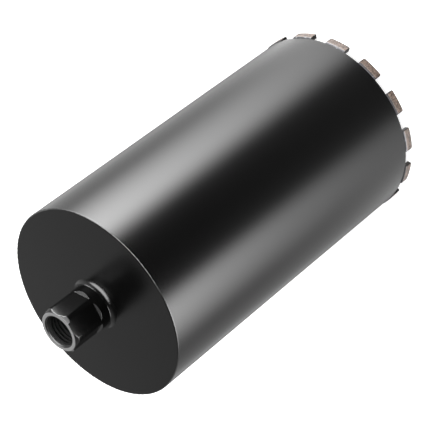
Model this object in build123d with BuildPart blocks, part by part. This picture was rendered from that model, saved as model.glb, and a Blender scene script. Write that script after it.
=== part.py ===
from build123d import *
from math import cos, pi, radians, sin, sqrt
import os

# Diamond core bit: a closed steel barrel, a threaded hexagon hub and a crown of diamond segments.
# Millimetres. It stands on its crown: the origin is the centre of the plane that the cutting faces
# lie in, +Z is the barrel's axis, towards the hub, and +X is square to one spanner flat of the hub.

# Barrel
tube_diameter = 200.0
tube_wall = 2.5
tube_length = 355.6
tube_back_rounding = 1.0

# Back plate, set into the barrel's end with its face flush
plate_thickness = 8.0
plate_groove = 3.0

# Hub, turned from round bar and milled with spanner flats
hub_bar_diameter = 45.0
hub_height = 49.0
hub_flat_count = 6
hub_flat_depth = 1.9
hub_flat_start = 15.4
hub_flat_runout = 2.1
hub_nose_inset = 1.95
hub_nose_bevel = 3.0
hub_spigot_diameter = 36.0

# Threaded bore of the hub, a plain wall at the thread's major diameter, and the water bore below it
thread_diameter = 31.75
thread_depth = 40.0
thread_mouth_bevel = 1.0
water_bore_diameter = 20.0

# Fillet weld round the foot of the hub
weld_leg_out = 4.1
weld_leg_up = 4.6
weld_hollow = 0.6

# Diamond segments, centred on the barrel's wall
segment_count = 15
segment_length = 24.2
segment_thickness = 4.5
segment_height = 10.0
segment_foot = 1.4
segment_corner = 1.5
segment_turn = -7.65

# Radii and heights that follow from the sizes above
tube_radius = tube_diameter / 2
tube_bore_radius = tube_radius - tube_wall
rim_z = segment_height
plate_face_z = rim_z + tube_length
plate_back_z = plate_face_z - plate_thickness
hub_bar_radius = hub_bar_diameter / 2
hub_across_flats = hub_bar_diameter - 2 * hub_flat_depth
hub_nose_diameter = hub_bar_diameter - 2 * hub_nose_inset
hub_nose_radius = hub_nose_diameter / 2
hub_spigot_radius = hub_spigot_diameter / 2
hub_flat_distance = hub_across_flats / 2
hub_top_z = plate_face_z + hub_height
thread_radius = thread_diameter / 2
thread_bottom_z = hub_top_z - thread_depth
water_bore_radius = water_bore_diameter / 2
segment_middle_radius = tube_radius - tube_wall / 2
segment_outer_radius = segment_middle_radius + segment_thickness / 2
segment_inner_radius = segment_middle_radius - segment_thickness / 2
segment_angle = segment_length / segment_outer_radius * 180 / pi

os.makedirs("parts", exist_ok=True)

# Barrel tube, from the crown's rim to the back face
with BuildPart() as barrel_tube:
    with BuildSketch(Plane.XY.offset(rim_z)):
        Circle(tube_radius)
        Circle(tube_bore_radius, mode=Mode.SUBTRACT)
    extrude(amount=tube_length)
    back_circles = barrel_tube.edges().filter_by(GeomType.CIRCLE).group_by(Axis.Z)[-1]
    fillet(back_circles.sort_by(SortBy.RADIUS)[-1], radius=tube_back_rounding)

barrel_tube.part.label = "barrel_tube"
export_step(barrel_tube.part, "parts/barrel_tube.step")

# Back plate, bevelled at its edge for the weld and bored for the hub's spigot
with BuildPart() as back_plate:
    with BuildSketch(Plane.XZ):
        with BuildLine():
            Polyline(
                (hub_spigot_radius, plate_back_z),
                (tube_bore_radius, plate_back_z),
                (tube_bore_radius, plate_face_z - plate_groove),
                (tube_bore_radius - plate_groove, plate_face_z),
                (hub_spigot_radius, plate_face_z),
                close=True,
            )
        make_face()
    revolve(axis=Axis.Z)

back_plate.part.label = "back_plate"
export_step(back_plate.part, "parts/back_plate.step")

# Weld in the groove between plate and tube, ground flush with both
with BuildPart() as plate_weld_ring:
    with BuildSketch(Plane.XZ):
        with BuildLine():
            Polyline(
                (tube_bore_radius, plate_face_z - plate_groove),
                (tube_bore_radius, plate_face_z),
                (tube_bore_radius - plate_groove, plate_face_z),
                close=True,
            )
        make_face()
    revolve(axis=Axis.Z)

plate_weld_ring.part.label = "plate_weld_ring"
export_step(plate_weld_ring.part, "parts/plate_weld_ring.step")

# Hub: spigot in the plate, round foot, bevelled nose, threaded bore over a narrower water bore
with BuildPart() as hub_connector:
    with BuildSketch(Plane.XZ):
        with BuildLine():
            Polyline(
                (water_bore_radius, plate_back_z),
                (hub_spigot_radius, plate_back_z),
                (hub_spigot_radius, plate_face_z),
                (hub_bar_radius, plate_face_z),
                (hub_bar_radius, hub_top_z - hub_nose_bevel),
                (hub_nose_radius, hub_top_z),
                (thread_radius + thread_mouth_bevel, hub_top_z),
                (thread_radius, hub_top_z - thread_mouth_bevel),
                (thread_radius, thread_bottom_z),
                (water_bore_radius, thread_bottom_z),
                close=True,
            )
        make_face()
    revolve(axis=Axis.Z)

    # Spanner flats, each ending above the foot in a sloping runout
    flat_start_z = plate_face_z + hub_flat_start
    cut_radius = 2 * hub_bar_radius
    cut_top_z = hub_top_z + hub_nose_bevel
    runout_slope = hub_flat_runout / hub_flat_depth
    cut_foot_z = flat_start_z - runout_slope * (cut_radius - hub_flat_distance)
    for flat in range(hub_flat_count):
        turn = radians(flat * 360 / hub_flat_count)
        outward = (cos(turn), sin(turn), 0)
        sideways = (sin(turn), -cos(turn), 0)
        with BuildSketch(Plane(origin=(0, 0, 0), x_dir=outward, z_dir=sideways)):
            with BuildLine():
                Polyline(
                    (hub_flat_distance, flat_start_z),
                    (hub_flat_distance, cut_top_z),
                    (cut_radius, cut_top_z),
                    (cut_radius, cut_foot_z),
                    close=True,
                )
            make_face()
        extrude(amount=hub_bar_radius, both=True, mode=Mode.SUBTRACT)

hub_connector.part.label = "hub_connector"
export_step(hub_connector.part, "parts/hub_connector.step")

# Smooth, slightly hollow fillet weld in the corner between hub and plate
with BuildPart() as hub_weld_bead:
    weld_root = (hub_bar_radius, plate_face_z)
    weld_toe = (hub_bar_radius + weld_leg_out, plate_face_z)
    weld_top = (hub_bar_radius, plate_face_z + weld_leg_up)
    weld_slant = sqrt(weld_leg_out**2 + weld_leg_up**2)
    weld_middle = (
        hub_bar_radius + weld_leg_out / 2 - weld_hollow * weld_leg_up / weld_slant,
        plate_face_z + weld_leg_up / 2 - weld_hollow * weld_leg_out / weld_slant,
    )
    with BuildSketch(Plane.XZ):
        with BuildLine():
            Line(weld_root, weld_toe)
            ThreePointArc(weld_toe, weld_middle, weld_top)
            Line(weld_top, weld_root)
        make_face()
    revolve(axis=Axis.Z)

hub_weld_bead.part.label = "hub_weld_bead"
export_step(hub_weld_bead.part, "parts/hub_weld_bead.step")


def diamond_segment(turn):
    """One arc of the crown, its cutting edge rounded at both ends, its foot narrowed to the wall."""
    start = radians(turn - segment_angle / 2)
    outward = (cos(start), sin(start), 0)
    backward = (sin(start), -cos(start), 0)
    with BuildPart() as segment:
        with BuildSketch(Plane(origin=(0, 0, 0), x_dir=outward, z_dir=backward)):
            with BuildLine():
                Polyline(
                    (segment_inner_radius, 0),
                    (segment_outer_radius, 0),
                    (segment_outer_radius, segment_height - segment_foot),
                    (tube_radius, segment_height),
                    (tube_bore_radius, segment_height),
                    (segment_inner_radius, segment_height - segment_foot),
                    close=True,
                )
            make_face()
        revolve(axis=Axis.Z, revolution_arc=segment_angle)
        cutting_ends = segment.edges().filter_by(GeomType.LINE).group_by(Axis.Z)[0]
        fillet(cutting_ends, radius=segment_corner)
    return segment


# The crown: equal segments round the barrel's rim
for number in range(segment_count):
    name = f"segment_{number + 1:02d}"
    diamond = diamond_segment(segment_turn + number * 360 / segment_count)
    diamond.part.label = name
    export_step(diamond.part, f"parts/{name}.step")
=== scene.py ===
import math

import bmesh
import bpy
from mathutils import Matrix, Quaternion, Vector, noise


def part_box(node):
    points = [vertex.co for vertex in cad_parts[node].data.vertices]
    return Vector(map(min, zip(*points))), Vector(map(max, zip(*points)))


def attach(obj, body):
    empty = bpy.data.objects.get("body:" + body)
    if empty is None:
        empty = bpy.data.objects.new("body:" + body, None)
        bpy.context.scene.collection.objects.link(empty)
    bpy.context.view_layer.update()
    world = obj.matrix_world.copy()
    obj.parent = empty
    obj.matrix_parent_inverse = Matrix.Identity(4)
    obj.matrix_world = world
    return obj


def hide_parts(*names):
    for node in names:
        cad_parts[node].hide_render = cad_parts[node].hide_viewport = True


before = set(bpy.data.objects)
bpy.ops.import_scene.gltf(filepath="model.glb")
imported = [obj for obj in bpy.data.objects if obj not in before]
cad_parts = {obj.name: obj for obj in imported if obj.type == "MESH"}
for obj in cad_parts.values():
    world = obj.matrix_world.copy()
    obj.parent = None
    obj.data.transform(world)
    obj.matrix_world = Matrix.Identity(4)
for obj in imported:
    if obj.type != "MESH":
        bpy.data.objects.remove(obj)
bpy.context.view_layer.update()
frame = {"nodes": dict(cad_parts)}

# Sizes of the real object, in metres
MM = 0.001
TUBE_RADIUS = 100.0 * MM
TUBE_BORE_RADIUS = 97.5 * MM
EDGE_ROUNDING = 1.0 * MM
HUB_BAR_RADIUS = 22.5 * MM
HUB_FLATS = 6
HUB_FLAT_DISTANCE = 20.6 * MM
HUB_FLAT_START = 15.4 * MM
HUB_FLAT_RUNOUT = 2.1 * MM
HUB_NOSE_RADIUS = 20.55 * MM
HUB_NOSE_BEVEL = 3.0 * MM
HUB_SPIGOT_RADIUS = 18.0 * MM
WATER_BORE_RADIUS = 10.0 * MM
THREAD_DEPTH = 40.0 * MM
THREAD_RADIUS = 15.875 * MM
THREAD_CREST_RADIUS = 14.7 * MM
THREAD_PITCH = 25.4 / 7 * MM
THREAD_MOUTH_BEVEL = 1.0 * MM
MOUTH_RADIUS = THREAD_RADIUS + THREAD_MOUTH_BEVEL
WELD_LEG_OUT = 4.1 * MM
WELD_LEG_UP = 4.6 * MM
WELD_HOLLOW = 0.6 * MM
SEGMENT_COUNT = 15
SEGMENT_LENGTH = 24.2 * MM
SEGMENT_THICKNESS = 4.5 * MM
SEGMENT_FOOT = 1.4 * MM
SEGMENT_CORNER = 1.5 * MM
SEGMENT_TURN = math.radians(-7.65)

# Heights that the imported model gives
RIM_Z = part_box("barrel_tube")[0].z
PLATE_BACK_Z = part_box("back_plate")[0].z
FACE_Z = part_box("back_plate")[1].z
HUB_TOP_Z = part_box("hub_connector")[1].z
WATER_BORE_TOP_Z = HUB_TOP_Z - THREAD_DEPTH

# The camera: where it stands, the point that it looks at and its roll about that line
CAMERA_PLACE = Vector((-1.29924, -0.41965, 1.21745))
CAMERA_AIM = Vector((-0.00535, 0.01588, 0.23281))
CAMERA_ROLL = math.radians(-128.07)
CAMERA_LENS = 146.3
CAMERA_SHIFT = (0.0379, 0.0718)

# The corner of the nose's bevel that has lost its paint
NOSE_SLOPE = (HUB_BAR_RADIUS - HUB_NOSE_RADIUS) / HUB_NOSE_BEVEL
WORN_ANGLE = math.radians(210)
WORN_REACH = 4.1 * MM

# The overhead softbox, on a ceiling at unit height: its middle, its half lengths and its turn
OVERHEAD_ACROSS = 0.62
OVERHEAD_AHEAD = 0.42
OVERHEAD_HALF_LENGTH = 1.11
OVERHEAD_HALF_WIDTH = 0.46
OVERHEAD_SLANT = math.radians(26)


class Value:
    """One output of a node. An expression on values adds the Math nodes that it needs."""

    def __init__(self, graph, socket):
        self.graph = graph
        self.socket = socket

    def math(self, operation, *others):
        values = dict(enumerate((self,) + others))
        return self.graph.node("ShaderNodeMath", {"operation": operation}, values)

    def __add__(self, other):
        return self.math("ADD", other)

    __radd__ = __add__

    def __mul__(self, other):
        return self.math("MULTIPLY", other)

    __rmul__ = __mul__

    def __sub__(self, other):
        return self.math("SUBTRACT", other)

    def __rsub__(self, other):
        return self * -1 + other

    def __truediv__(self, other):
        return self.math("DIVIDE", other)

    def __abs__(self):
        return self.math("ABSOLUTE")

    def rise(self, low, high):
        """0 below low, 1 above high, with a soft step between them."""
        return self.graph.node(
            "ShaderNodeMapRange",
            {"interpolation_type": "SMOOTHSTEP"},
            {"Value": self, "From Min": low, "From Max": high},
        )


class Graph:
    """The nodes of one finish, or of the studio's light."""

    def __init__(self, tree):
        self.tree = tree
        self.tree.nodes.clear()

    def node(self, kind, settings=None, values=None, output=0):
        """Adds a node: its settings first, then the value or link of each named socket."""
        added = self.tree.nodes.new(kind)
        for name, setting in (settings or {}).items():
            setattr(added, name, setting)
        for name, value in (values or {}).items():
            if isinstance(value, Value):
                self.tree.links.new(value.socket, added.inputs[name])
            else:
                added.inputs[name].default_value = value
        return Value(self, added.outputs[output]) if added.outputs else None

    def place(self):
        """The point's place in the part's own frame, in metres."""
        return self.node("ShaderNodeTexCoord", output="Object")

    def axes(self, vector):
        split = self.node("ShaderNodeSeparateXYZ", values={0: vector})
        socket = split.socket.node.outputs
        return [Value(self, socket[axis]) for axis in "XYZ"]

    def from_axis(self, vector):
        """Distance from the barrel's axis."""
        flat = self.node(
            "ShaderNodeVectorMath", {"operation": "MULTIPLY"}, {0: vector, 1: (1, 1, 0)}
        )
        return self.node("ShaderNodeVectorMath", {"operation": "LENGTH"}, {0: flat}, "Value")

    def speckle(self, vector, size, detail=2.0, roughness=0.5):
        """Noise from 0 to 1 whose lumps are about that size across."""
        values = {"Vector": vector, "Scale": 1 / size, "Detail": detail, "Roughness": roughness}
        return self.node("ShaderNodeTexNoise", values=values)

    def grains(self, vector, size):
        """Distance from the middle of the nearest grain, for grains of about that size."""
        values = {"Vector": vector, "Scale": 1 / size}
        return self.node("ShaderNodeTexVoronoi", values=values, output="Distance")

    def blend(self, factor, first, second):
        """From the first colour at 0 to the second at 1."""
        first, second = [c if isinstance(c, Value) else (*c, 1) for c in (first, second)]
        values = {0: factor, 6: first, 7: second}
        return self.node("ShaderNodeMix", {"data_type": "RGBA"}, values, 2)

    def bump(self, height, depth, under=None):
        """Surface relief: height from 0 to 1, depth in metres."""
        values = {"Height": height, "Distance": depth}
        if under is not None:
            values["Normal"] = under
        return self.node("ShaderNodeBump", values=values)

    def shade(self, **sockets):
        """The surface shader, named by its sockets, as the finish's output."""
        values = {name.replace("_", " "): value for name, value in sockets.items()}
        shader = self.node("ShaderNodeBsdfPrincipled", values=values)
        self.node("ShaderNodeOutputMaterial", values={"Surface": shader})


def finish(name):
    """A new, empty finish and its graph."""
    material = bpy.data.materials.new(name)
    material.use_nodes = True
    return material, Graph(material.node_tree)


def satin_paint():
    """Black satin paint: fine orange peel outside, glossy on the back edge, dusty inside."""
    material, g = finish("satin_paint")
    place = g.place()
    radius = g.from_axis(place)
    below = FACE_Z - g.axes(place)[2]
    inside = radius.rise(TUBE_BORE_RADIUS + 1.3 * MM, TUBE_BORE_RADIUS + 0.7 * MM)
    inside = inside * below.rise(0.1 * MM, 0.3 * MM)
    back_edge = below.rise(EDGE_ROUNDING * 0.5, EDGE_ROUNDING * 0.4)
    back_edge = back_edge * radius.rise(TUBE_RADIUS - EDGE_ROUNDING, TUBE_RADIUS - EDGE_ROUNDING * 0.9)
    cloud = g.speckle(place, 60 * MM)
    fine = g.speckle(place, 2.5 * MM, 4)
    dust = g.speckle(place, 9 * MM, 6, 0.7).rise(0.45, 0.8) * inside
    colour = g.blend(fine, (0.0003, 0.0003, 0.0003), (0.0006, 0.0006, 0.0006))
    colour = g.blend(inside, colour, (0.012, 0.012, 0.0125))
    colour = g.blend(dust * 0.6, colour, (0.05, 0.048, 0.045))
    roughness = 0.225 + cloud * 0.02 + fine * 0.02 + inside * 0.22 + dust * 0.2
    peel = g.bump(g.speckle(place, 1.6 * MM, 1), 0.003 * MM)
    grain = g.bump(g.speckle(place, 0.35 * MM, 2), 0.001 * MM, peel)
    g.shade(
        Base_Color=colour,
        Roughness=roughness,
        Normal=grain,
        IOR=1.5,
        Coat_Weight=back_edge,
        Coat_Roughness=0.12,
        Coat_IOR=1.65,
    )
    return material


def plate_paint():
    """The same paint on the back plate, laid a little thicker."""
    material, g = finish("plate_paint")
    place = g.place()
    cloud = g.speckle(place, 50 * MM)
    fine = g.speckle(place, 2.2 * MM, 4)
    colour = g.blend(fine, (0.0003, 0.0003, 0.0003), (0.0006, 0.0006, 0.0006))
    roughness = 0.24 + cloud * 0.02 + fine * 0.02
    peel = g.bump(g.speckle(place, 1.8 * MM, 1), 0.003 * MM)
    grain = g.bump(g.speckle(place, 0.35 * MM, 2), 0.001 * MM, peel)
    g.shade(Base_Color=colour, Roughness=roughness, Normal=grain, IOR=1.5)
    return material


def hub_finish():
    """Glossy black hub with the nose turned bright, and a dark oiled bore."""
    material, g = finish("hub_finish")
    place = g.place()
    radius = g.from_axis(place)
    across, along, height = g.axes(place)
    ragged = g.speckle(place, 1.2 * MM, 3) * 0.06 * MM

    # The bright nose: end face, bevel of the thread's mouth, worn corner and the bare edge beside it
    end_face = (height + ragged).rise(HUB_TOP_Z - 0.07 * MM, HUB_TOP_Z - 0.01 * MM)
    mouth = radius.rise(MOUTH_RADIUS + 0.5 * MM, MOUTH_RADIUS)
    mouth = mouth * radius.rise(THREAD_RADIUS, THREAD_RADIUS + 0.04 * MM)
    mouth = mouth * height.rise(HUB_TOP_Z - 1.2 * MM, HUB_TOP_Z - 1.0 * MM)
    bevel_radius = (HUB_TOP_Z - height) * NOSE_SLOPE + HUB_NOSE_RADIUS
    bevel = (radius - bevel_radius).rise(-0.14 * MM, -0.06 * MM)
    bare_spot = around(HUB_NOSE_RADIUS, WORN_ANGLE, HUB_TOP_Z - HUB_NOSE_BEVEL / 2)
    away = g.node("ShaderNodeVectorMath", {"operation": "DISTANCE"}, {0: place, 1: bare_spot}, "Value")
    worn = bevel * (away + ragged * 8).rise(WORN_REACH + 0.3 * MM, WORN_REACH - 0.3 * MM)
    edge = (radius - bevel_radius).rise(-0.3 * MM, -0.22 * MM)
    edge = edge * (radius - bevel_radius).rise(-0.006 * MM, -0.014 * MM)
    edge = edge * along.rise(-9 * MM, -10 * MM) * height.rise(HUB_TOP_Z - 4 * MM, HUB_TOP_Z - 3.5 * MM)
    worn = worn.math("MAXIMUM", edge * across.rise(1 * MM, 0))
    nose = end_face.math("MAXIMUM", mouth).math("MAXIMUM", worn)

    # The paint, the dark bore and the turned steel
    bore = radius.rise(THREAD_RADIUS + 0.06 * MM, THREAD_RADIUS + 0.03 * MM) * (1 - mouth)
    fine = g.speckle(place, 0.8 * MM, 4)
    scuff = g.speckle(place, 3 * MM, 5, 0.65)
    black = g.blend(fine, (0.0002, 0.0002, 0.0002), (0.0005, 0.0005, 0.0005))
    black = g.blend(bore, black, (0.020, 0.020, 0.020))
    steel = g.blend(scuff, (0.56, 0.56, 0.56), (0.76, 0.76, 0.76))
    dull = g.blend(worn, g.blend(mouth, steel, (0.06, 0.06, 0.06)), (0.09, 0.09, 0.09))

    # Turning marks on the bare steel, orange peel on the paint
    turning = (radius / (0.22 * MM) + height / (0.3 * MM)).math("SINE") * 0.5 + 0.5
    ridges = g.bump(turning * nose, 0.004 * MM)
    peel = g.bump(g.speckle(place, 1.4 * MM, 1), 0.004 * MM, ridges)
    g.shade(
        Base_Color=g.blend(nose, black, dull),
        Metallic=nose,
        Roughness=0.12 + fine * 0.03 + bore * 0.6 + nose * (0.18 + scuff * 0.1),
        Normal=peel,
        IOR=1.5,
    )
    return material


def thread_finish():
    """Dark oiled steel of the thread."""
    material, g = finish("thread_finish")
    place = g.place()
    oil = g.speckle(place, 2 * MM, 4)
    colour = g.blend(oil, (0.009, 0.009, 0.009), (0.013, 0.013, 0.013))
    marks = g.bump(g.speckle(place, 0.3 * MM, 2), 0.006 * MM)
    g.shade(Base_Color=colour, Roughness=0.8 + oil * 0.15, Normal=marks, IOR=1.12)
    return material


def weld_paint():
    """Glossy black paint over the fillet weld."""
    material, g = finish("weld_paint")
    place = g.place()
    fine = g.speckle(place, 0.9 * MM, 4)
    colour = g.blend(fine, (0.0002, 0.0002, 0.0002), (0.0005, 0.0005, 0.0005))
    peel = g.bump(g.speckle(place, 0.8 * MM, 2), 0.006 * MM)
    g.shade(Base_Color=colour, Roughness=0.15 + fine * 0.03, Normal=peel, IOR=1.5)
    return material


def diamond_matrix():
    """Sintered bronze-brown metal with diamond grit, near-black ends and a foot wetted by solder."""
    material, g = finish("diamond_matrix")
    place = g.place()
    x, y, height = g.axes(place)

    # Where on its segment a point lies: at the near-black ends, on the soldered foot or in between
    sector = math.tau / SEGMENT_COUNT
    share = ((y.math("ARCTAN2", x) - SEGMENT_TURN) / sector + 0.5).math("FRACT")
    from_middle = abs(share - 0.5) * sector * (TUBE_RADIUS + 1 * MM)
    ragged = g.speckle(place, 1.0 * MM, 4) * 0.7 * MM
    end = SEGMENT_LENGTH / 2
    # The ends are made near black, with almost no shine
    dark_end = (from_middle + ragged * 0.2).rise(end - 0.5 * MM, end - 0.25 * MM)
    foot_z = RIM_Z - SEGMENT_FOOT
    solder = (height + ragged).rise(foot_z + 0.15 * MM, foot_z + 0.5 * MM) * (1 - dark_end)
    glint = g.speckle(place, 3.5 * MM, 3, 0.6).rise(0.58, 0.68) * solder

    # Mottling, pits and diamond crystals, the dark border, and a pale line painted along the edge over
    # the foot as a painted highlight of that edge
    mottle = g.speckle(place, 2.4 * MM, 5, 0.65)
    pits = g.speckle(place, 1.9 * MM, 3, 0.6).rise(0.46, 0.38)
    grit = 1 - g.grains(place, 0.9 * MM).rise(0.12, 0.3)
    crystal = grit * g.speckle(place, 1.1 * MM, 0).rise(0.5, 0.6)
    cutting = (height + ragged * 0.5).rise(1.8 * MM, 0.8 * MM)
    border = cutting.math("MAXIMUM", (from_middle + ragged * 0.5).rise(end - 1.2 * MM, end - 0.5 * MM))
    # A painted highlight: a pale line painted along the edge over the foot, broken up by speckle
    painted_edge_highlight = (height + ragged * 0.3).rise(foot_z - 1.0 * MM, foot_z - 0.7 * MM) * (1 - solder)
    painted_edge_highlight = painted_edge_highlight * g.speckle(place, 2.5 * MM, 3, 0.6).rise(0.36, 0.46)

    # The colours laid over one another, and the relief
    matrix = g.blend(mottle.rise(0.34, 0.66), (0.016, 0.011, 0.008), (0.135, 0.095, 0.076))
    matrix = g.blend(pits * 0.85, matrix, (0.012, 0.009, 0.008))
    matrix = g.blend(crystal * 0.5, matrix, (0.30, 0.29, 0.26))
    matrix = g.blend(border * 0.85, matrix, (0.014, 0.011, 0.009))
    # Lays the painted edge highlight over the matrix
    matrix = g.blend(painted_edge_highlight * 0.4, matrix, (0.20, 0.19, 0.18))
    matrix = g.blend(solder, matrix, g.blend(glint * 0.7, (0.06, 0.06, 0.064), (0.33, 0.33, 0.345)))
    dull = (border * 0.5).math("MAXIMUM", pits * 0.6)
    rough_cast = g.bump(mottle, 0.22 * MM)
    sandy = g.bump(g.speckle(place, 0.25 * MM, 3), 0.02 * MM, rough_cast)
    relief = g.bump(crystal, 0.08 * MM, sandy)
    g.shade(
        Base_Color=g.blend(dark_end, matrix, (0.004, 0.0035, 0.003)),
        Metallic=solder.math("MAXIMUM", dark_end).math("MAXIMUM", dull) * 0.9,
        Roughness=0.36 - solder * 0.06 + mottle * 0.1,
        Normal=relief,
        IOR=1.4,
    )
    return material


def dress(piece, material):
    """Gives a piece one finish all over."""
    piece.data.materials.clear()
    piece.data.materials.append(material)


def new_piece(name, points, faces, material, slot, *nodes):
    """A smooth-shaded piece that rides on the part and stands for CAD nodes, if any are named."""
    mesh = bpy.data.meshes.new(name)
    mesh.from_pydata(points, [], faces)
    shaper = bmesh.new()
    shaper.from_mesh(mesh)
    bmesh.ops.recalc_face_normals(shaper, faces=shaper.faces)
    shaper.to_mesh(mesh)
    shaper.free()
    mesh.shade_smooth()
    piece = bpy.data.objects.new(name, mesh)
    bpy.context.scene.collection.objects.link(piece)
    dress(piece, material)
    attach(piece, "root")
    if nodes:
        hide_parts(*nodes)
    return piece


def clamp(value, low, high):
    return max(low, min(high, value))


def around(radius, angle, height):
    return (radius * math.cos(angle), radius * math.sin(angle), height)


def ring_faces(steps, count):
    """Quads between rings of points that close on themselves, where each ring's points close too."""
    faces = []
    for step in range(steps):
        following = (step + 1) % steps
        for point in range(count):
            beside = (point + 1) % count
            faces.append(
                (
                    step * count + point,
                    following * count + point,
                    following * count + beside,
                    step * count + beside,
                )
            )
    return faces


def rounded_min(first, second, reach):
    """The smaller of two lengths, rounded off where they differ by less than reach."""
    overlap = max(reach - abs(first - second), 0) / reach
    return min(first, second) - overlap * overlap * reach / 4


def hub_skin_radius(angle, height):
    """The outside of the hub: round bar, milled flats that run out above its foot, bevelled nose."""
    sector = math.tau / HUB_FLATS
    turn = (angle + sector / 2) % sector - sector / 2
    corner = 0.25 * MM
    below = clamp(HUB_FLAT_START + FACE_Z - height, -corner, corner)
    sunk = (below + corner) ** 2 / (4 * corner) + max(HUB_FLAT_START + FACE_Z - height - corner, 0)
    distance = HUB_FLAT_DISTANCE + sunk * (HUB_BAR_RADIUS - HUB_FLAT_DISTANCE) / HUB_FLAT_RUNOUT
    skin = rounded_min(HUB_BAR_RADIUS, distance / math.cos(turn), 0.15 * MM)
    nose = HUB_NOSE_RADIUS + (HUB_TOP_Z - height) * NOSE_SLOPE
    return rounded_min(skin, nose, 0.14 * MM)


def spread(first, last, step):
    """Evenly spaced values from first to just short of last."""
    count = round((last - first) / step)
    return [first + (last - first) * number / count for number in range(count)]


def hub_body(material):
    """The hub with its edges broken: skin, end face, bored inside and the spigot in the plate."""
    edge = 0.45 * MM
    half_sector = 180 / HUB_FLATS
    turns = spread(-half_sector, -25, 1) + spread(-25, -22.4, 0.2) + spread(-22.4, 22.4, 1.12)
    turns += spread(22.4, 25, 0.2) + spread(25, half_sector, 1)
    angles = [
        math.radians(turn + flat * 2 * half_sector) for flat in range(HUB_FLATS) for turn in turns
    ]
    tall = (HUB_TOP_Z - FACE_Z) / MM
    heights = spread(0, 12.8, 2) + spread(12.8, 16.0, 0.08) + spread(16.0, tall - 4, 2.5)
    heights += spread(tall - 4, tall - edge / MM, 0.14)
    leans = [math.radians(lean) for lean in range(0, 91, 10)]
    small = 0.1 * MM
    inside = [
        (HUB_NOSE_RADIUS - 1.0 * MM, HUB_TOP_Z),
        (MOUTH_RADIUS + 1.0 * MM, HUB_TOP_Z),
        (MOUTH_RADIUS + 2 * small, HUB_TOP_Z),
        (MOUTH_RADIUS + small, HUB_TOP_Z - small / 4),
        (MOUTH_RADIUS - small / 2, HUB_TOP_Z - small),
        (MOUTH_RADIUS - 2 * small, HUB_TOP_Z - 2.5 * small),
        (THREAD_RADIUS + 2 * small, HUB_TOP_Z - THREAD_MOUTH_BEVEL + 1.5 * small),
        (THREAD_RADIUS + small / 3, HUB_TOP_Z - THREAD_MOUTH_BEVEL),
        (THREAD_RADIUS, HUB_TOP_Z - THREAD_MOUTH_BEVEL - 2 * small),
        (THREAD_RADIUS, WATER_BORE_TOP_Z + 3 * small),
        (THREAD_RADIUS, WATER_BORE_TOP_Z),
        (WATER_BORE_RADIUS + 3 * small, WATER_BORE_TOP_Z),
        (WATER_BORE_RADIUS, WATER_BORE_TOP_Z - 3 * small),
        (WATER_BORE_RADIUS, PLATE_BACK_Z + 3 * small),
        (WATER_BORE_RADIUS + 3 * small, PLATE_BACK_Z),
        (HUB_SPIGOT_RADIUS - 2 * small, PLATE_BACK_Z),
        (HUB_SPIGOT_RADIUS, PLATE_BACK_Z + 2 * small),
        (HUB_SPIGOT_RADIUS, FACE_Z),
    ]
    points = []
    for angle in angles:
        for height in heights:
            z = FACE_Z + height * MM
            points.append(around(hub_skin_radius(angle, z), angle, z))
        for lean in leans:
            z = HUB_TOP_Z - edge * (1 - math.sin(lean))
            radius = hub_skin_radius(angle, z) - edge * (1 - math.cos(lean))
            points.append(around(radius, angle, z))
        for radius, z in inside:
            points.append(around(radius, angle, z))
    faces = ring_faces(len(angles), len(heights) + len(leans) + len(inside))
    return new_piece("hub_body", points, faces, material, "hub_steel", "hub_connector")


def hub_weld(material):
    """The hollow fillet weld round the hub's foot, faintly rippled, with paint pooled at its top."""
    steps = 900
    face_points = 18
    blend_points = 8
    blend = 1.6 * MM
    ripples = 58
    points = []
    for step in range(steps):
        angle = step / steps * math.tau
        where = Vector((math.cos(angle), math.sin(angle), 0))
        waver = noise.noise(where * 2.6)
        flutter = noise.noise(where * 9.0)
        phase = angle * ripples + 1.6 * noise.noise(where * 3.0 + Vector((4, 0, 0)))
        ripple = abs(math.sin(phase / 2))
        leg_out = WELD_LEG_OUT - (0.10 + 0.08 * waver + 0.03 * flutter) * MM
        leg_up = WELD_LEG_UP - (0.10 + 0.05 * flutter - 0.05 * waver) * MM
        hollow = WELD_HOLLOW - (0.03 * waver + 0.02 * ripple) * MM
        slant = math.hypot(leg_out, leg_up)
        end_out = leg_out - 4 * hollow * leg_up / slant
        end_up = leg_up + 4 * hollow * leg_out / slant
        steepness = math.atan2(end_out, end_up)
        reach = blend * math.tan(steepness / 2)
        last_share = 1 - reach / math.hypot(end_out, end_up)
        points.append(around(HUB_BAR_RADIUS - 0.05 * MM, angle, FACE_Z))
        shares = [last_share * point / (face_points - 1) for point in range(1, face_points)]
        for share in [0, 0.01] + shares:
            dip = hollow * 4 * share * (1 - share)
            out = leg_out * (1 - share) - dip * leg_up / slant
            up = leg_up * share - dip * leg_out / slant
            points.append(around(HUB_BAR_RADIUS + out, angle, FACE_Z + up))
        for point in range(blend_points):
            lean = steepness * (1 - (point + 1) / blend_points)
            out = blend * (1 - math.cos(lean))
            up = leg_up + reach - blend * math.sin(lean)
            points.append(around(HUB_BAR_RADIUS + out, angle, FACE_Z + up))
    faces = ring_faces(steps, face_points + blend_points + 2)
    return new_piece("hub_weld", points, faces, material, "weld_paint", "hub_weld_bead")


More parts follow.
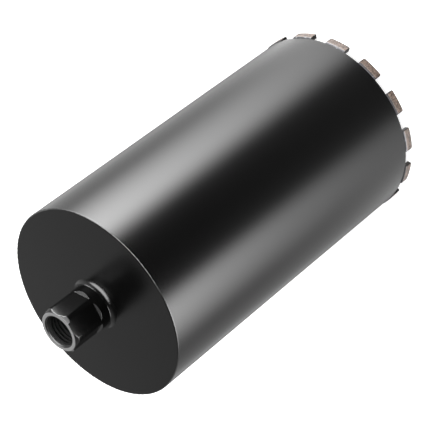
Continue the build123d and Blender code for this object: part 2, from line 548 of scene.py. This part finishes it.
def hub_thread(material):
    """The female thread: one ridge wound inside the hub's bore, fading out at both ends."""
    turn_steps = 96
    crest_half = THREAD_PITCH / 8
    root_half = THREAD_PITCH * 7 / 16
    first_z = WATER_BORE_TOP_Z + THREAD_PITCH / 2
    last_z = HUB_TOP_Z - THREAD_MOUTH_BEVEL - THREAD_PITCH * 0.3
    turns = (last_z - first_z) / THREAD_PITCH
    steps = round(turns * turn_steps)
    sunk = 0.05 * MM
    rising = [(0, -1.0), (0.5, -0.5), (0.93, -0.08), (1, 0)]
    profile = rising + [(rise, 1 - side) for rise, side in reversed(rising)]
    points = []
    for step in range(steps + 1):
        angle = step / turn_steps * math.tau
        height = first_z + step / turn_steps * THREAD_PITCH
        fade = min(1, step / (turn_steps / 4), (steps - step) / (turn_steps / 4))
        for rise, side in profile:
            if side <= 0:
                offset = -crest_half + side * (root_half - crest_half)
            elif side >= 1:
                offset = crest_half + (side - 1) * (root_half - crest_half)
            else:
                offset = 0
            depth = rise * (THREAD_RADIUS - THREAD_CREST_RADIUS) * fade
            radius = THREAD_RADIUS + sunk * (1 - rise) - depth
            points.append(around(radius, angle, height + offset * max(fade, 0.05)))
    count = len(profile)
    faces = []
    for step in range(steps):
        for point in range(count):
            beside = (point + 1) % count
            first = step * count
            faces.append((first + point, first + count + point, first + count + beside, first + beside))
    faces.append(tuple(range(count)))
    faces.append(tuple(steps * count + point for point in range(count)))
    return new_piece("hub_thread", points, faces, material, "hub_steel")


def block_points(cells):
    """The surface of a unit block from -1 to 1, cut into cells, as shared points and quads."""
    index, points, faces = {}, [], []

    def point(key):
        if key not in index:
            index[key] = len(points)
            points.append(tuple(2 * k / n - 1 for k, n in zip(key, cells)))
        return index[key]

    for axis in range(3):
        one, two = [a for a in range(3) if a != axis]
        for end in (0, cells[axis]):
            for i in range(cells[one]):
                for j in range(cells[two]):
                    corners = []
                    for di, dj in ((0, 0), (1, 0), (1, 1), (0, 1)):
                        key = [0, 0, 0]
                        key[axis], key[one], key[two] = end, i + di, j + dj
                        corners.append(point(tuple(key)))
                    faces.append(corners)
    return points, faces


def segment_piece(number, unit_points, unit_faces, material):
    """One diamond segment: ground ends, rounded cutting corners, worn edges, a foot set on the rim."""
    worn = 0.4 * MM
    half_length = SEGMENT_LENGTH / 2
    half_thickness = SEGMENT_THICKNESS / 2
    corner_from = half_length - SEGMENT_CORNER
    seed = Vector((number * 7.3, number * 3.1, 0))
    middle_radius = (TUBE_RADIUS + TUBE_BORE_RADIUS) / 2
    turn = SEGMENT_TURN + number * math.tau / SEGMENT_COUNT
    wall_share = (TUBE_RADIUS - TUBE_BORE_RADIUS) / SEGMENT_THICKNESS
    points = []
    for along, across, up in unit_points:
        raw = Vector((along * half_length, across * half_thickness, (up + 1) / 2 * RIM_Z))
        core = Vector(
            (
                clamp(raw.x, worn - half_length, half_length - worn),
                clamp(raw.y, worn - half_thickness, half_thickness - worn),
                clamp(raw.z, worn, RIM_Z),
            )
        )
        past = Vector((max(abs(core.x) - corner_from, 0), 0, min(core.z - SEGMENT_CORNER, 0)))
        reach = SEGMENT_CORNER - worn
        if past.x > 0 and past.z < 0 and past.length > reach:
            past *= reach / past.length
            core.x = math.copysign(corner_from + past.x, core.x)
            core.z = SEGMENT_CORNER + past.z
        skin = raw - core
        if skin.length > 0:
            skin.normalize()
        point = core + skin * worn
        foot = clamp((point.z - (RIM_Z - SEGMENT_FOOT)) / SEGMENT_FOOT, 0, 1)
        point.y *= 1 - foot * (1 - wall_share)
        coarse = noise.noise(point * 600 + seed) * 0.09
        fine = noise.noise(point * 1900 + seed) * 0.05
        point -= skin * (0.07 + (coarse + fine)) * MM * (1 - foot)
        point.z = max(point.z, 0)
        angle = turn + point.x / (middle_radius + half_thickness)
        points.append(around(middle_radius + point.y, angle, point.z))
    name = f"diamond_segment_{number + 1:02d}"
    node = f"segment_{number + 1:02d}"
    return new_piece(name, points, unit_faces, material, "diamond_matrix", node)


def pale_floor():
    """A plain pale floor that only the camera sees."""
    half = 6.0
    material, g = finish("pale_floor")
    diffuse = g.node("ShaderNodeBsdfDiffuse", values={"Color": (0.5, 0.5, 0.5, 1)})
    glow = g.node("ShaderNodeEmission", values={"Color": (1, 1, 1, 1), "Strength": 0.86})
    lit = g.node("ShaderNodeAddShader", values={0: diffuse, 1: glow})
    clear = g.node("ShaderNodeBsdfTransparent")
    below = g.node("ShaderNodeNewGeometry", output="Backfacing")
    surface = g.node("ShaderNodeMixShader", values={0: below, 1: lit, 2: clear})
    g.node("ShaderNodeOutputMaterial", values={"Surface": surface})
    mesh = bpy.data.meshes.new("floor")
    corners = [(-half, -half, 0), (half, -half, 0), (half, half, 0), (-half, half, 0)]
    mesh.from_pydata(corners, [], [(0, 1, 2, 3)])
    floor = bpy.data.objects.new("floor", mesh)
    bpy.context.scene.collection.objects.link(floor)
    dress(floor, material)
    floor.visible_glossy = False
    floor.visible_diffuse = False
    floor.visible_transmission = False
    floor.visible_shadow = False


def studio_light(facing):
    """Two tall softboxes beside the camera, a long one overhead, a dim room and a pale backdrop.

    Angles are in degrees: round the barrel's axis from the direction that faces the camera, and
    above the horizon. Only reflections see them: the camera sees plain white behind the object.
    """
    world = bpy.data.worlds.new("studio")
    world.use_nodes = True
    bpy.context.scene.world = world
    g = Graph(world.node_tree)
    way = g.node("ShaderNodeTexCoord", output="Generated")
    turned = g.node(
        "ShaderNodeVectorRotate", {"rotation_type": "Z_AXIS"}, {"Vector": way, "Angle": -facing}
    )
    x, y, z = g.axes(turned)
    side = y.math("ARCTAN2", x) * math.degrees(1)
    up = z.math("ARCSINE") * math.degrees(1)
    off = abs(side)
    other_side = side * -1
    leftward = y.rise(-0.3, 0.3)

    # The tall softboxes on both sides of the camera, which end at the horizon and fade to the floor
    right_box = other_side.rise(32, 52) * other_side.rise(102, 51) * up.rise(-40.7, -22.2) * 24.8
    left_box = side.rise(33, 60) * side.rise(115, 54) * up.rise(-45, -23) * 29
    boxes = (right_box + left_box) * up.rise(9, 0)

    # The long softbox overhead, an ellipse on the ceiling
    ceiling = z.math("MAXIMUM", 0.02)
    ahead = x / ceiling - OVERHEAD_AHEAD
    across = y / ceiling - OVERHEAD_ACROSS
    along = across * math.cos(OVERHEAD_SLANT) - ahead * math.sin(OVERHEAD_SLANT)
    over = ahead * math.cos(OVERHEAD_SLANT) + across * math.sin(OVERHEAD_SLANT)
    along = along / OVERHEAD_HALF_LENGTH
    over = over / OVERHEAD_HALF_WIDTH
    overhead = (along * along + over * over).rise(1.9, 0.3) * up.rise(30, 44) * 11.5

    # The dim room, which is darkest straight behind the object, and the pale wall above it there
    behind = off.rise(150, 168) * up.rise(24, 4)
    room = off.rise(32, 82) * (1 - behind * 0.9) * (0.6 + leftward * 0.45) * up.rise(48, 14)
    room = room + off.rise(100, 150) * off.rise(170, 156) * up.rise(-44, -34) * up.rise(10, -20) * 0.12
    above = up.rise(5, 35) * (0.055 + y.rise(-0.1, 0.04) * 0.118)

    # The lit background just past the object's two outlines, and the light off the floor below them
    flank = off.rise(140, 157) * off.rise(176, 167) * up.rise(10, -20)
    flank = flank * (up.rise(-42, -36) * (1 - leftward) * 0.35 + up.rise(-37, -32) * leftward * 0.3)
    under = off.rise(65, 130) * off.rise(170, 158) * up.rise(-42.3, -44.6) * up.rise(-58, -49)
    under = under * (1.5 + leftward * 2.0) * (1 + off.rise(128, 148) * (0.3 + leftward * 0.6))
    bounce = up.rise(-36, -46) * 0.2
    dark = 0.03
    radiance = boxes + overhead + room + flank + above + under + bounce + dark

    lamp = g.node("ShaderNodeBackground", values={"Strength": radiance})
    white = g.node("ShaderNodeBackground", values={"Color": (1, 1, 1, 1), "Strength": 1.0})
    seen = g.node("ShaderNodeLightPath", output="Is Camera Ray")
    surface = g.node("ShaderNodeMixShader", values={0: seen, 1: lamp, 2: white})
    g.node("ShaderNodeOutputWorld", values={"Surface": surface})


def add_camera():
    data = bpy.data.cameras.new("camera")
    data.lens = CAMERA_LENS
    data.sensor_width = 36
    data.shift_x, data.shift_y = CAMERA_SHIFT
    data.clip_end = 50
    camera = bpy.data.objects.new("camera", data)
    bpy.context.scene.collection.objects.link(camera)
    camera.location = CAMERA_PLACE
    camera.rotation_mode = "QUATERNION"
    level = (CAMERA_AIM - CAMERA_PLACE).to_track_quat("-Z", "Y")
    camera.rotation_quaternion = level @ Quaternion((0, 0, 1), CAMERA_ROLL)
    bpy.context.scene.camera = camera


# Finishes of the turned and rolled steel, on the CAD nodes
nodes = frame["nodes"]
dress(nodes["barrel_tube"], satin_paint())
plate_skin = plate_paint()
dress(nodes["back_plate"], plate_skin)
dress(nodes["plate_weld_ring"], plate_skin)

# Pieces whose detail is finer than their solids
hub_body(hub_finish())
hub_weld(weld_paint())
hub_thread(thread_finish())
grit = diamond_matrix()
cells_along, cells_across, cells_up = 46, 10, 18
unit_points, unit_faces = block_points((cells_along, cells_across, cells_up))
for number in range(SEGMENT_COUNT):
    segment_piece(number, unit_points, unit_faces, grit)

# The stage
pale_floor()
studio_light(math.atan2(CAMERA_PLACE.y, CAMERA_PLACE.x))
add_camera()
bpy.context.scene.view_settings.view_transform = "Standard"
